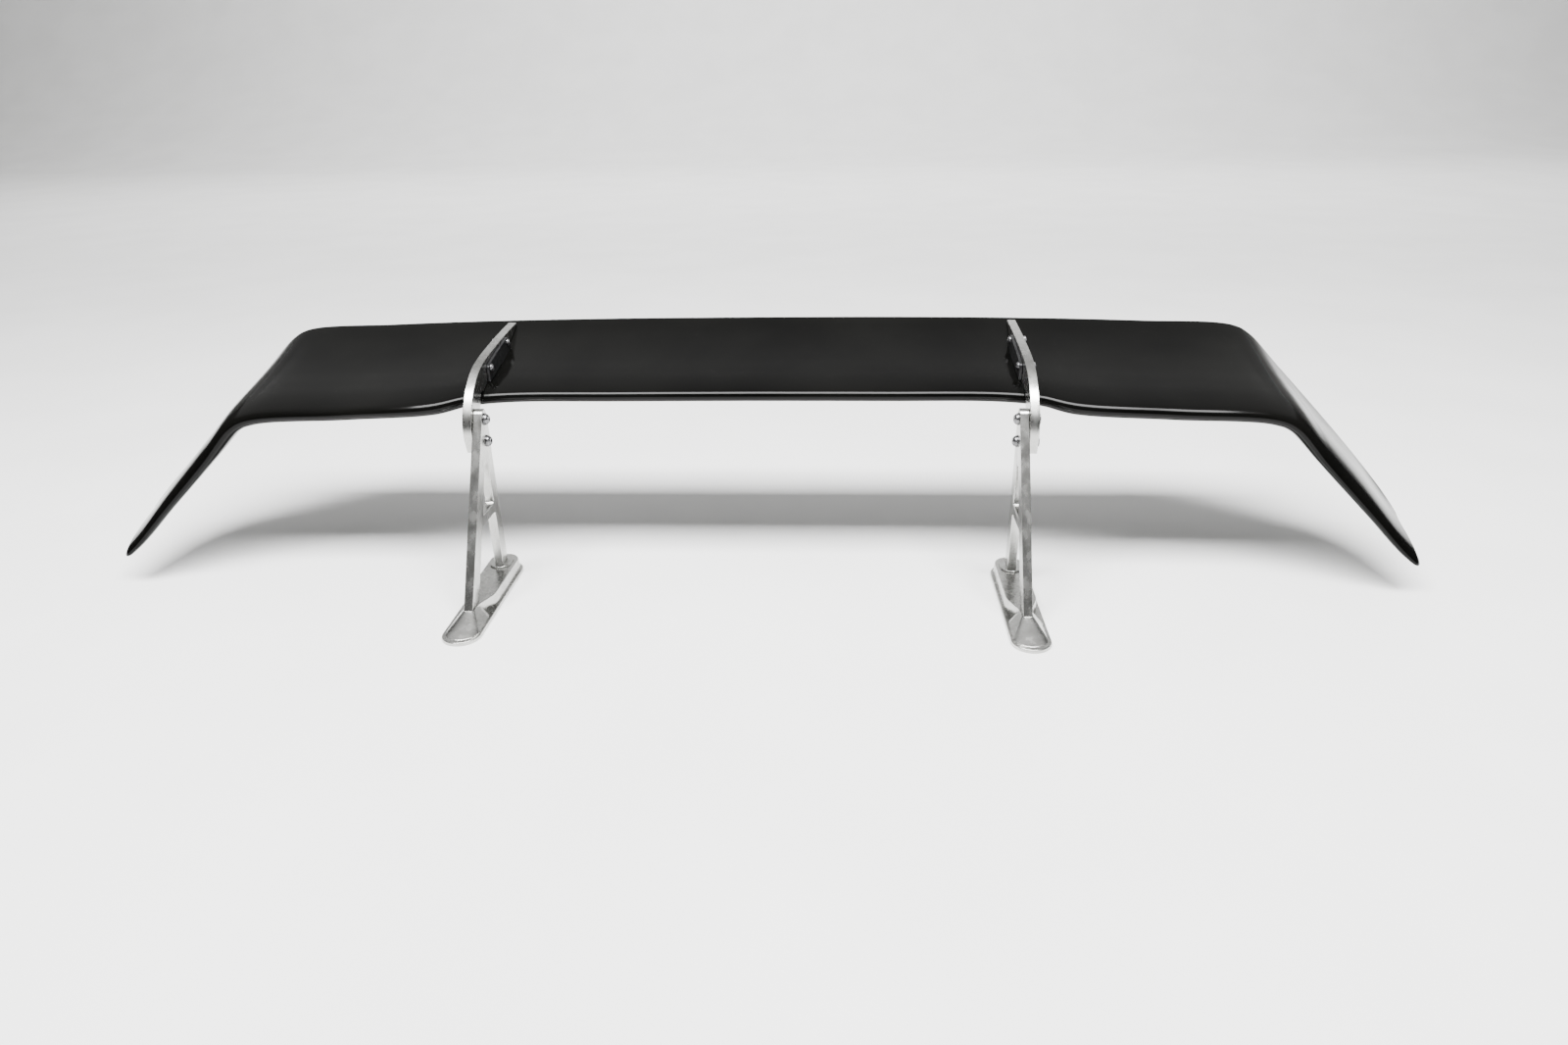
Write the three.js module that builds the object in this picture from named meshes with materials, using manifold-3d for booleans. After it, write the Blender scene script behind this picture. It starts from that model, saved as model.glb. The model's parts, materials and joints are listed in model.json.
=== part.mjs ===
// Racing rear wing: a full-width aerofoil with drooped winglets, hung from two swan-neck plates that
// bolt to two A-frame uprights on streamlined feet. Millimetres, +Z up, the car's nose towards -Y,
// +X the car's left. The wing turns about the upper lap bolts for its angle of attack.
import * as THREE from 'three';
import { mergeVertices } from 'three/addons/utils/BufferGeometryUtils.js';
import Module from 'manifold-3d';

const wasm = await Module();
wasm.setup();

// ---- Driving dimensions, in millimetres; Y is measured from the front tips of the feet ----
const PLATE = 12; // thickness of the upright and neck plates
const GAP = 0.3; // clearance between pieces that touch
const SIDES = 14; // facets round a fastener or a hole
const UPRIGHT_X = 354; // inboard face of an upright
const NECK_X = UPRIGHT_X + PLATE + GAP; // inboard face of a neck
const TAB = 4; // thickness of the wing bracket's upstanding tab
const SKIN = 2.2; // laminate thickness of the wing's skins
const SEAM = 0.15; // half the bond line between the two skins
const EDGE_HALF = 0.9; // half the trailing edge's thickness

const FOOT = { x: 359.5, halfWidth: 25, front: 0, rear: 229, rim: 5, top: 20, pad: 22, edge: 0.8 };
const LEDGE = 5; // flat ledge between the foot's rim and its raised body
const DRAFT = 1.5; // how far the raised body's wall leans in from ledge to top
const BODY_SHOULDERS = { wide: 104, narrow: 72, end: 60 }; // where the raised body narrows forward
const NOSE = { front: 6, top: 51, rear: 84 }; // ramp from the toe up to the front leg
const PAD = { halfWidth: 15, front: 176, rear: 216 }; // step that the rear leg stands on
const FOOT_BORE = { radius: 5.6, depth: 7 }; // counterbore for the screw heads
const LEAN = 0.594; // how far the upright's front edge leans back for each millimetre it rises
const LEG_FRONT = 43.8; // where that front edge would meet the ground
const LEG_WIDTH = 26.5; // front leg, measured along Y
const REAR_LEG = { front: 185, rear: 205.5 };
const CROSSBAR = { low: 104, high: 117.5 };
const WINDOW_TOP = 176;
const PIVOT = { y: 197, z: 234 }; // upper lap bolt, the axis of the angle adjustment
const LOWER_BOLT = { y: 194, z: 204.5 };
const SLOT_HALF_ANGLE = THREE.MathUtils.degToRad(7);
const LAP_SHANK = 4; // M8
const LAP_HOLE = 4.5;
const LAP_WASHER = 1.6; // thickness
const THIN_NUT = 3.2; // thickness
const NECK_SHANK = 3; // M6
const NECK_HOLE = 3.4;
const FOOT_SHANK = 3; // M6 socket screws from below
const FOOT_HOLE = 3.4;
const NECK_BOLTS = [
  { name: 'front', y: 272, z: 284 },
  { name: 'rear', y: 352, z: 299.5 },
];
const FOOT_SCREWS = [
  { name: 'front', y: 69.5, seat: FOOT.top },
  { name: 'rear', y: 195, seat: FOOT.pad },
];

// Spanwise stations from the middle to the left tip: leading edge, trailing edge, thickness factor,
// and how far the section has changed from the cambered wing's to the convex winglet's.
const STATIONS = [
  { le: [0, 236, 250.5], te: [0, 426, 316.5], thick: 1, convex: 0 },
  { le: [180, 236, 250], te: [180, 426, 316], thick: 1, convex: 0 },
  { le: [335, 236, 249], te: [335, 426, 314.3], thick: 1, convex: 0 },
  { le: [388, 229, 246], te: [388, 426, 313.3], thick: 1, convex: 0 },
  { le: [432, 211, 240], te: [432, 426.5, 312.3], thick: 1, convex: 0 },
  { le: [560, 210, 232.5], te: [560, 428, 308], thick: 1, convex: 0 },
  { le: [692, 206.5, 225.6], te: [696, 429.5, 300.8], thick: 0.96, convex: 0.15 },
  { le: [717, 202, 214.5], te: [720, 423.5, 289.5], thick: 0.93, convex: 0.6 },
  { le: [758, 189.5, 169.5], te: [762, 399, 245], thick: 0.9, convex: 1 },
  { le: [823, 169.5, 102.5], te: [826, 351, 174], thick: 0.84, convex: 1 },
  { le: [864, 158.5, 59.5], te: [864, 320, 129], thick: 0.8, convex: 1 },
  { le: [889, 154.5, 38.5], te: [890, 266, 89], thick: 0.8, convex: 1 },
];
const KINK = 6; // the station where the wing bends down into its winglet
const RIB = 3; // thickness of a rib
const TIP_ROUND = 0.45; // last part of the outermost bay, in stations, that rounds off the tip

// Aerofoil heights over the chord line, as fractions of the chord: upper side, then lower side.
const UPPER = [
  [0, 0], [0.006, 0.016], [0.03, 0.032], [0.08, 0.038], [0.18, 0.035],
  [0.32, 0.018], [0.48, -0.002], [0.65, -0.015], [0.83, -0.015], [1, 0],
];
const LOWER = [
  [0, 0], [0.006, -0.021], [0.03, -0.047], [0.08, -0.072], [0.18, -0.096],
  [0.32, -0.104], [0.48, -0.097], [0.65, -0.075], [0.83, -0.04], [1, 0],
];
const WINGLET_UPPER = [
  [0, 0], [0.006, 0.018], [0.03, 0.037], [0.08, 0.052], [0.18, 0.062],
  [0.32, 0.06], [0.48, 0.048], [0.65, 0.032], [0.83, 0.015], [1, 0],
];
const WINGLET_LOWER = [
  [0, 0], [0.006, -0.014], [0.03, -0.03], [0.08, -0.043], [0.18, -0.052],
  [0.32, -0.052], [0.48, -0.043], [0.65, -0.03], [0.83, -0.015], [1, 0],
];
const CHORD_STEPS = UPPER.map((p) => p[0]);

// ---- Solids ----
function weld(geometry) {
  const g = geometry.clone();
  g.deleteAttribute('normal');
  g.deleteAttribute('uv');
  return mergeVertices(g, 1e-4);
}

function toManifold(geometry) {
  const g = weld(geometry);
  return new wasm.Manifold(new wasm.Mesh({
    numProp: 3,
    vertProperties: new Float32Array(g.attributes.position.array),
    triVerts: new Uint32Array(g.index.array),
  }));
}

function toGeometry(solid) {
  const mesh = solid.getMesh();
  const g = new THREE.BufferGeometry();
  g.setAttribute('position', new THREE.BufferAttribute(mesh.vertProperties, mesh.numProp));
  g.setIndex(new THREE.BufferAttribute(mesh.triVerts, 1));
  return g;
}

const cut = (geometry, tools) =>
  toGeometry(tools.reduce((solid, tool) => solid.subtract(toManifold(tool)), toManifold(geometry)));
const join = (...pieces) =>
  toGeometry(pieces.map(toManifold).reduce((solid, piece) => solid.add(piece)));

// A closed solid from rings of points with the same count, each ring one cross-section.
function loft(rings) {
  const n = rings[0].length;
  const positions = rings.flat().flatMap((p) => [p.x, p.y, p.z]);
  const index = [];
  for (let r = 0; r < rings.length - 1; r += 1) {
    for (let k = 0; k < n; k += 1) {
      const a = r * n + k;
      const b = r * n + ((k + 1) % n);
      index.push(a, b, b + n, a, b + n, a + n);
    }
  }
  for (const [r, isFirst] of [[0, true], [rings.length - 1, false]]) {
    const faces = THREE.ShapeUtils.triangulateShape(flatten(rings[r]), []);
    for (const [a, b, c] of faces) {
      index.push(r * n + a, r * n + (isFirst ? c : b), r * n + (isFirst ? b : c));
    }
  }
  const g = new THREE.BufferGeometry();
  g.setAttribute('position', new THREE.Float32BufferAttribute(positions, 3));
  g.setIndex(index);
  return facingOut(g);
}

// A ring laid flat in its own plane, running anticlockwise, for triangulation.
function flatten(ring) {
  const normal = new THREE.Vector3();
  ring.forEach((p, k) => {
    const q = ring[(k + 1) % ring.length];
    normal.add(new THREE.Vector3().crossVectors(p, q));
  });
  normal.normalize();
  const side = Math.abs(normal.z) > 0.9 ? new THREE.Vector3(1, 0, 0) : new THREE.Vector3(0, 0, 1);
  const e1 = new THREE.Vector3().crossVectors(side, normal).normalize();
  const e2 = new THREE.Vector3().crossVectors(normal, e1);
  return ring.map((p) => new THREE.Vector2(p.dot(e1), p.dot(e2)));
}

function facingOut(geometry) {
  const p = geometry.attributes.position;
  const idx = geometry.index.array;
  const v = [new THREE.Vector3(), new THREE.Vector3(), new THREE.Vector3()];
  let volume = 0;
  for (let k = 0; k < idx.length; k += 3) {
    v.forEach((w, j) => w.fromBufferAttribute(p, idx[k + j]));
    volume += v[0].dot(new THREE.Vector3().crossVectors(v[1], v[2]));
  }
  return volume < 0 ? turnedInsideOut(geometry) : geometry;
}

function turnedInsideOut(geometry) {
  const idx = geometry.index.array;
  for (let k = 0; k < idx.length; k += 3) [idx[k + 1], idx[k + 2]] = [idx[k + 2], idx[k + 1]];
  return geometry;
}

function mirrored(geometry) {
  const g = weld(geometry);
  g.applyMatrix4(new THREE.Matrix4().makeScale(-1, 1, 1));
  return turnedInsideOut(g);
}

// A rod along X between two X positions, centred on (y, z).
function rodX(radius, x0, x1, y, z, sides = SIDES) {
  const g = new THREE.CylinderGeometry(radius, radius, x1 - x0, sides);
  g.rotateZ(-Math.PI / 2);
  return g.translate((x0 + x1) / 2, y, z);
}

function rodZ(radius, z0, z1, x, y, sides = SIDES) {
  const g = new THREE.CylinderGeometry(radius, radius, z1 - z0, sides);
  g.rotateX(Math.PI / 2);
  return g.translate(x, y, (z0 + z1) / 2);
}

// A closed outline in a plane; a corner [a, b, r] is rounded by a curve that starts r from it.
function outline(corners, make = new THREE.Shape()) {
  const at = (k) => corners[(k + corners.length) % corners.length];
  corners.forEach(([a, b, r = 0], k) => {
    const here = new THREE.Vector2(a, b);
    const towards = (other) =>
      new THREE.Vector2(other[0], other[1]).sub(here).setLength(r).add(here);
    const enter = r ? towards(at(k - 1)) : here;
    if (k === 0) make.moveTo(enter.x, enter.y);
    else make.lineTo(enter.x, enter.y);
    if (!r) return;
    const leave = towards(at(k + 1));
    make.quadraticCurveTo(a, b, leave.x, leave.y);
  });
  make.closePath();
  return make;
}

// Extrudes a (Y, Z) shape along X from x0, with a small chamfer round its edges.
function plateX(shape, x0, thickness, chamfer = 0.8, curveSegments = 3) {
  const g = new THREE.ExtrudeGeometry(shape, {
    depth: thickness - 2 * chamfer,
    curveSegments,
    bevelEnabled: chamfer > 0,
    bevelThickness: chamfer,
    bevelSize: chamfer,
    bevelOffset: -chamfer,
    bevelSegments: 1,
  });
  const turn = new THREE.Matrix4().makeBasis(
    new THREE.Vector3(0, 1, 0), new THREE.Vector3(0, 0, 1), new THREE.Vector3(1, 0, 0));
  g.applyMatrix4(turn);
  return g.translate(x0 + chamfer, 0, 0);
}

// ---- Wing surface ----
const leCurve = new THREE.CatmullRomCurve3(
  STATIONS.map((s) => new THREE.Vector3(...s.le)), false, 'centripetal');
const teCurve = new THREE.CatmullRomCurve3(
  STATIONS.map((s) => new THREE.Vector3(...s.te)), false, 'centripetal');
const LAST = STATIONS.length - 1;

function heightAt(table, u) {
  if (u >= 1) return table[table.length - 1][1];
  const k = Math.max(0, table.findIndex((p) => p[0] > u) - 1);
  const [u0, v0] = table[k];
  const [u1, v1] = table[k + 1];
  return v0 + ((v1 - v0) * (u - u0)) / (u1 - u0);
}

// Millimetres over the chord line at u: side 1 is the upper surface, -1 the lower, 0 the mean line.
function heightOver(w, u, side) {
  const scale = w.chord * w.thick;
  const edge = EDGE_HALF * u ** 3;
  const mix = (wingTable, wingletTable) =>
    THREE.MathUtils.lerp(heightAt(wingTable, u), heightAt(wingletTable, u), w.convex) * scale;
  const upper = mix(UPPER, WINGLET_UPPER) + edge;
  const lower = mix(LOWER, WINGLET_LOWER) - edge;
  if (side === 0) return (upper + lower) / 2;
  return side > 0 ? upper : lower;
}

// The section at station s, a real number from -LAST (right tip) to +LAST (left tip).
function section(s) {
  const a = Math.min(Math.abs(s), LAST);
  const side = s < 0 ? -1 : 1;
  const le = leCurve.getPoint(a / LAST);
  const te = teCurve.getPoint(a / LAST);
  const k = Math.min(LAST - 1, Math.floor(a));
  const between = (key) => THREE.MathUtils.lerp(STATIONS[k][key], STATIONS[k + 1][key], a - k);
  let thick = between('thick');
  const step = 0.02;
  const before = middle(Math.max(0, a - step));
  const after = middle(Math.min(LAST, a + step));
  const chordLine = te.clone().sub(le);
  const along = after.sub(before);
  const up = along.cross(chordLine).normalize();
  const roundOff = Math.max(0, (a - (LAST - TIP_ROUND)) / TIP_ROUND);
  if (roundOff > 0) {
    const keep = Math.sqrt(1 - 0.96 * roundOff * roundOff);
    const centre = le.clone().lerp(te, 0.45);
    le.lerp(centre, 0.35 * (1 - keep));
    te.lerp(centre, 0.35 * (1 - keep));
    thick *= keep;
  }
  const chord = te.distanceTo(le);
  return { le, te, up, chord, thick, convex: between('convex'), side };
}

function middle(a) {
  return leCurve.getPoint(a / LAST).lerp(teCurve.getPoint(a / LAST), 0.5);
}

// The point at chord fraction u on a side of the wing (0 is the mean line), moved up by lift.
function onWing(s, u, side, lift = 0) {
  const w = section(s);
  const p = w.le.clone().lerp(w.te, u);
  p.addScaledVector(w.up, heightOver(w, u, side) + lift);
  p.x *= w.side;
  return p;
}

// The station whose leading edge is at a distance x from the middle.
function stationAt(x) {
  let low = 0;
  let high = LAST;
  for (let k = 0; k < 40; k += 1) {
    const mid = (low + high) / 2;
    if (leCurve.getPoint(mid / LAST).x < Math.abs(x)) low = mid;
    else high = mid;
  }
  return Math.sign(x) * low;
}

// From the skin's outer surface to its inner surface at u: never past the mean line.
function innerLift(s, u, side) {
  const w = section(s);
  const half = (heightOver(w, u, 1) - heightOver(w, u, -1)) / 2;
  return -side * Math.min(SKIN, half - SEAM);
}

function skinRing(s, side) {
  const inset = SKIN / section(s).chord;
  const outer = CHORD_STEPS.map((u) => (u === 0 ? onWing(s, 0, 0, side * SEAM) : onWing(s, u, side)));
  const inner = CHORD_STEPS.map((u) => {
    const shifted = u + inset * (1 - u);
    return u === 0
      ? onWing(s, shifted, 0, side * SEAM)
      : onWing(s, shifted, side, innerLift(s, shifted, side));
  });
  return [...outer, ...inner.reverse()];
}

// Stations for the skins: close together at the step, the bends and the rounded tips.
function skinStations() {
  const half = [];
  for (let k = 0; k < LAST; k += 1) {
    const parts = k < 2 || k === 5 || k >= LAST - 2 ? 1 : 2;
    for (let j = 0; j < parts; j += 1) half.push(k + j / parts);
  }
  half.push(LAST - TIP_ROUND, LAST - 0.45 * TIP_ROUND, LAST - 0.12 * TIP_ROUND, LAST);
  const sorted = [...new Set(half)].sort((a, b) => a - b);
  return [...sorted.slice(1).map((s) => -s).reverse(), ...sorted];
}

// A solid that fills the space between the skins from u0 to u1 over a list of stations.
function core(stations, u0, u1, clearance = 1.2) {
  const us = [0, 1, 2, 3].map((k) => u0 + ((u1 - u0) * k) / 3);
  return loft(stations.map((s) => [
    ...us.map((u) => onWing(s, u, 1, innerLift(s, u, 1) - clearance)),
    ...us.map((u) => onWing(s, u, -1, innerLift(s, u, -1) + clearance)).reverse(),
  ]));
}

const xs = (list) => list.map(stationAt);

// ---- Materials ----
const finish = (color, roughness, metalness) => ({ color, roughness, metalness });
const GLOSS_BLACK = finish(0x0c0c0c, 0.12, 0);
const CORE_GREY = finish(0x3a3a38, 0.8, 0);
const MACHINED = finish(0x9a9b98, 0.34, 1);
const BLACK_ANODISED = finish(0x141514, 0.4, 0.6);
const STEEL = finish(0x585a5c, 0.35, 1);

const model = new THREE.Group();
model.name = 'rear_wing';
const wing = new THREE.Group();
const stands = new THREE.Group();
model.add(stands, wing);

function add(group, name, geometry, look) {
  const g = geometry.index ? geometry : weld(geometry);
  const mesh = new THREE.Mesh(g, new THREE.MeshStandardMaterial(look));
  mesh.name = name;
  group.add(mesh);
}

// Adds a piece made for the left side (+X) and its mirror image on the right.
function addPair(group, name, geometry, look) {
  add(group, `${name}_left`, weld(geometry), look);
  add(group, `${name}_right`, mirrored(geometry), look);
}

// ---- Fasteners ----
// A button-head screw along X: the head's dome towards -X, its flat seat at x = seat.
function buttonScrew(shank, headRadius, headHeight, seat, end, y, z) {
  const socket = shank * 0.62;
  const depth = headHeight * 0.6;
  const profile = [
    [0, -headHeight + depth], [socket, -headHeight + depth], [socket, -headHeight],
    [headRadius * 0.62, -headHeight], [headRadius * 0.92, -headHeight * 0.5], [headRadius, 0],
    [shank, 0], [shank, end - seat], [0, end - seat],
  ];
  const g = new THREE.LatheGeometry(profile.map(([r, x]) => new THREE.Vector2(r, x)), SIDES);
  g.rotateZ(-Math.PI / 2);
  g.translate(seat, y, z);
  return facingOut(weld(g));
}

function washer(inner, outer, x0, thickness, y, z) {
  const profile = [[inner, 0], [outer, 0], [outer, thickness], [inner, thickness], [inner, 0]];
  const g = new THREE.LatheGeometry(profile.map(([r, x]) => new THREE.Vector2(r, x)), SIDES);
  g.rotateZ(-Math.PI / 2);
  g.translate(x0, y, z);
  return facingOut(weld(g));
}

// A hexagon nut along X with a clear bore.
function hexNut(bore, acrossFlats, x0, height, y, z) {
  const corner = acrossFlats / Math.sqrt(3);
  const shape = new THREE.Shape();
  for (let k = 0; k < 6; k += 1) {
    const a = (k * Math.PI) / 3;
    const point = [y + corner * Math.cos(a), z + corner * Math.sin(a)];
    if (k === 0) shape.moveTo(...point);
    else shape.lineTo(...point);
  }
  shape.closePath();
  shape.holes.push(new THREE.Path().absarc(y, z, bore, 0, 2 * Math.PI, true));
  return plateX(shape, x0, height, 0, 8);
}

// ---- Feet ----
function stadium(halfWidth, front, rear, steps = 8) {
  const arc = (centre, from) => Array.from({ length: steps + 1 }, (_, k) => {
    const a = from + (Math.PI * k) / steps;
    return new THREE.Vector2(FOOT.x + halfWidth * Math.cos(a), centre + halfWidth * Math.sin(a));
  });
  return [...arc(rear - halfWidth, 0), ...arc(front + halfWidth, Math.PI)];
}

const ring = (points, z) => points.map((p) => new THREE.Vector3(p.x, p.y, z));

const NOSE_HALF = PLATE / 2 + 1.5; // half width of the body just in front of the leg

// The raised body: as wide as the plateau at the rear, narrowing forward to the front leg.
function plateauOutline(halfWidth, steps = 8) {
  const rearCentre = FOOT.rear - FOOT.halfWidth;
  const points = Array.from({ length: steps + 1 }, (_, k) => {
    const a = (Math.PI * k) / steps;
    return new THREE.Vector2(FOOT.x + halfWidth * Math.cos(a), rearCentre + halfWidth * Math.sin(a));
  });
  const { wide, narrow, end } = BODY_SHOULDERS;
  const front = [[-halfWidth, wide], [-NOSE_HALF, narrow], [-NOSE_HALF, end]];
  const back = front.map(([x, y]) => [-x, y]).reverse();
  return [...points, ...[...front, ...back].map(([x, y]) => new THREE.Vector2(FOOT.x + x, y))];
}

function footSolid() {
  const { halfWidth, front, rear, rim, top, pad, edge } = FOOT;
  const low = rim - 1; // the upper bodies start inside the base
  const base = loft([
    ring(stadium(halfWidth - edge, front + edge, rear - edge), 0),
    ring(stadium(halfWidth, front, rear), edge),
    ring(stadium(halfWidth, front, rear), rim - edge),
    ring(stadium(halfWidth - edge, front + edge, rear - edge), rim),
  ]);
  const body = loft([
    ring(plateauOutline(halfWidth - LEDGE + DRAFT), low),
    ring(plateauOutline(halfWidth - LEDGE), top - edge),
    ring(plateauOutline(halfWidth - LEDGE - edge), top),
  ]);
  const nose = loft([
    ring(stadium(halfWidth - 3, front + NOSE.front, NOSE.rear), low),
    ring(stadium(halfWidth - 4, front + NOSE.front + 2, NOSE.rear), rim + 0.5),
    ring(stadium(NOSE_HALF, NOSE.top, NOSE.rear - 6), top),
  ]);
  const step = loft([
    ring(stadium(PAD.halfWidth, PAD.front, PAD.rear), top - 1),
    ring(stadium(PAD.halfWidth, PAD.front, PAD.rear), pad - 0.5),
    ring(stadium(PAD.halfWidth - 0.5, PAD.front + 0.5, PAD.rear - 0.5), pad),
  ]);
  const x = UPRIGHT_X + PLATE / 2;
  const holes = FOOT_SCREWS.flatMap(({ y }) => [
    rodZ(FOOT_HOLE, -1, pad + 1, x, y),
    rodZ(FOOT_BORE.radius, -1, FOOT_BORE.depth, x, y),
  ]);
  return cut(join(base, body, nose, step), holes);
}

// A socket-head screw from under the foot, up into a leg.
function footScrew(y, seat) {
  const under = FOOT_BORE.depth - 6.3; // height of the head's lower face
  const headTop = FOOT_BORE.depth - GAP;
  const end = seat + 17;
  const profile = [
    [0, under + 3], [2.5, under + 3], [2.5, under], [5, under], [5, headTop],
    [FOOT_SHANK, headTop], [FOOT_SHANK, end], [0, end],
  ];
  const g = new THREE.LatheGeometry(profile.map(([r, z]) => new THREE.Vector2(r, z)), SIDES);
  g.rotateX(Math.PI / 2);
  g.translate(UPRIGHT_X + PLATE / 2, y, 0);
  return facingOut(weld(g));
}

// ---- Uprights ----
const frontEdge = (z) => LEG_FRONT + LEAN * z;

function uprightSolid() {
  const low = FOOT.top + GAP;
  const inner = (z) => frontEdge(z) + LEG_WIDTH;
  const shape = outline([
    [frontEdge(low), low],
    [inner(low), low],
    [inner(CROSSBAR.low), CROSSBAR.low, 5],
    [REAR_LEG.front, CROSSBAR.low, 5],
    [REAR_LEG.front, FOOT.pad + GAP],
    [REAR_LEG.rear, FOOT.pad + GAP],
    [REAR_LEG.rear, 184, 7],
    [207.5, 200, 7],
    [207.5, 236, 6],
    [203, 248, 5],
    [frontEdge(246) + 2, 247, 5],
  ]);
  shape.holes.push(outline([
    [inner(CROSSBAR.high), CROSSBAR.high, 4],
    [inner(WINDOW_TOP - 4), WINDOW_TOP, 5],
    [REAR_LEG.front, WINDOW_TOP, 4],
    [REAR_LEG.front, CROSSBAR.high, 4],
  ], new THREE.Path()));
  const plate = plateX(shape, UPRIGHT_X, PLATE);
  const x0 = UPRIGHT_X - 1;
  const x1 = UPRIGHT_X + PLATE + 1;
  const tools = [PIVOT, LOWER_BOLT].map(({ y, z }) => rodX(LAP_HOLE, x0, x1, y, z));
  for (const { y, seat } of FOOT_SCREWS) {
    tools.push(rodZ(FOOT_HOLE, seat - 2, seat + 19, UPRIGHT_X + PLATE / 2, y));
  }
  return cut(plate, tools);
}

// ---- Necks ----
// Height of the wing's upper surface at y, the highest across a plate from x0 to x1.
function surfaceHeight(x0, x1, y) {
  return Math.max(...[x0, x1].map((x) => {
    const s = stationAt(x);
    let best = -Infinity;
    for (let u = 0; u <= 1; u += 0.01) {
      const p = onWing(s, u, 1);
      if (Math.abs(p.y - y) < 2.2) best = Math.max(best, p.z);
    }
    return best;
  }));
}

// The neck's upper edge, from its tail up and over the wing's leading edge to the rear end.
const NECK_TOP = [
  [181, 192], [177.5, 205], [175.8, 219], [179.5, 237], [190, 254], [203, 269],
  [219, 281], [240, 291.5], [266, 298], [300, 303], [340, 307.6], [380, 311.3], [414, 313.8],
];
// The rear edge of the tail, up to the wing's nose.
const NECK_UNDER_NOSE = [
  [212.5, 192], [213.5, 212], [216, 228], [220, 240], [225.5, 250], [231.5, 259.5],
];
// Where the neck's underside follows the wing's upper surface, from the rear forward.
const NECK_ON_WING = [415, 400, 375, 350, 325, 300, 280, 262, 250, 242];
const NECK_CLEARANCE = 1.6; // over the wing's skin

function neckSolid() {
  const shape = new THREE.Shape();
  shape.moveTo(...NECK_TOP[0]);
  shape.splineThru(NECK_TOP.slice(1).map((p) => new THREE.Vector2(...p)));
  for (const y of NECK_ON_WING) {
    shape.lineTo(y, surfaceHeight(NECK_X, NECK_X + PLATE, y) + NECK_CLEARANCE);
  }
  for (const point of [...NECK_UNDER_NOSE].reverse()) shape.lineTo(...point);
  shape.closePath();
  const plate = plateX(shape, NECK_X, PLATE, 0.6, 2);
  const x0 = NECK_X - 1;
  const x1 = NECK_X + PLATE + 1;
  const tools = [rodX(LAP_HOLE, x0, x1, PIVOT.y, PIVOT.z)];
  tools.push(slotTool(x0, x1));
  for (const { y, z } of NECK_BOLTS) tools.push(rodX(NECK_HOLE, x0, x1, y, z));
  return cut(plate, tools);
}

// The curved slot round the pivot that the lower lap bolt slides in.
function slotTool(x0, x1) {
  const radius = Math.hypot(LOWER_BOLT.y - PIVOT.y, LOWER_BOLT.z - PIVOT.z);
  const angle = Math.atan2(LOWER_BOLT.z - PIVOT.z, LOWER_BOLT.y - PIVOT.y);
  const from = angle - SLOT_HALF_ANGLE;
  const to = angle + SLOT_HALF_ANGLE;
  const end = (a) => [PIVOT.y + radius * Math.cos(a), PIVOT.z + radius * Math.sin(a)];
  const shape = new THREE.Shape();
  shape.absarc(PIVOT.y, PIVOT.z, radius + LAP_HOLE, from, to, false);
  shape.absarc(...end(to), LAP_HOLE, to, to + Math.PI, false);
  shape.absarc(PIVOT.y, PIVOT.z, radius - LAP_HOLE, to, from, true);
  shape.absarc(...end(from), LAP_HOLE, from + Math.PI, from + 2 * Math.PI, false);
  return plateX(shape, x0, x1 - x0, 0, 6);
}

// ---- Wing brackets ----
const TAB_X = NECK_X - GAP - TAB; // inboard face of the tab
const TAB_FRONT = 263; // along Y
const TAB_REAR = 364;
const ROOT = { front: 314, rear: 358, depth: 6.2 }; // bonded into the mount insert through the skin
const RECESS_MARGIN = 0.4;

// Points (y, z) on the upper surface at the tab, from y0 to y1, moved up by lift.
function surfaceLine(y0, y1, lift, steps = 4) {
  return Array.from({ length: steps + 1 }, (_, k) => {
    const y = y0 + ((y1 - y0) * k) / steps;
    return [y, surfaceHeight(TAB_X, TAB_X + TAB, y) + lift];
  });
}

// A plate profile of the root, bigger by margin all round, open above the skin by height.
function rootShape(margin, height) {
  const front = ROOT.front - margin;
  const rear = ROOT.rear + margin;
  const low = surfaceLine(front, rear, -ROOT.depth - margin);
  const high = surfaceLine(front, rear, height).reverse();
  const shape = new THREE.Shape();
  shape.moveTo(...low[0]);
  for (const point of [...low.slice(1), ...high]) shape.lineTo(...point);
  shape.closePath();
  return shape;
}

function bracketSolid() {
  const shape = new THREE.Shape();
  const foot = surfaceLine(TAB_FRONT, TAB_REAR, NECK_CLEARANCE, 6);
  shape.moveTo(...foot[0]);
  for (const point of foot.slice(1)) shape.lineTo(...point);
  shape.lineTo(364, 304);
  shape.quadraticCurveTo(360, 306.5, 352, 306.6);
  shape.quadraticCurveTo(310, 299, 274, 291.8);
  shape.quadraticCurveTo(264, 290, 263, 283);
  shape.closePath();
  const tab = join(plateX(shape, TAB_X, TAB, 0), plateX(rootShape(0, NECK_CLEARANCE + 2), TAB_X, TAB, 0));
  return cut(tab, NECK_BOLTS.map(({ y, z }) => rodX(NECK_HOLE, TAB_X - 1, NECK_X, y, z)));
}

// Cuts the recess for the tab's root into the skin and the insert.
const recess = () =>
  plateX(rootShape(RECESS_MARGIN, 8), TAB_X - GAP, TAB + 2 * GAP, 0);

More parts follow.
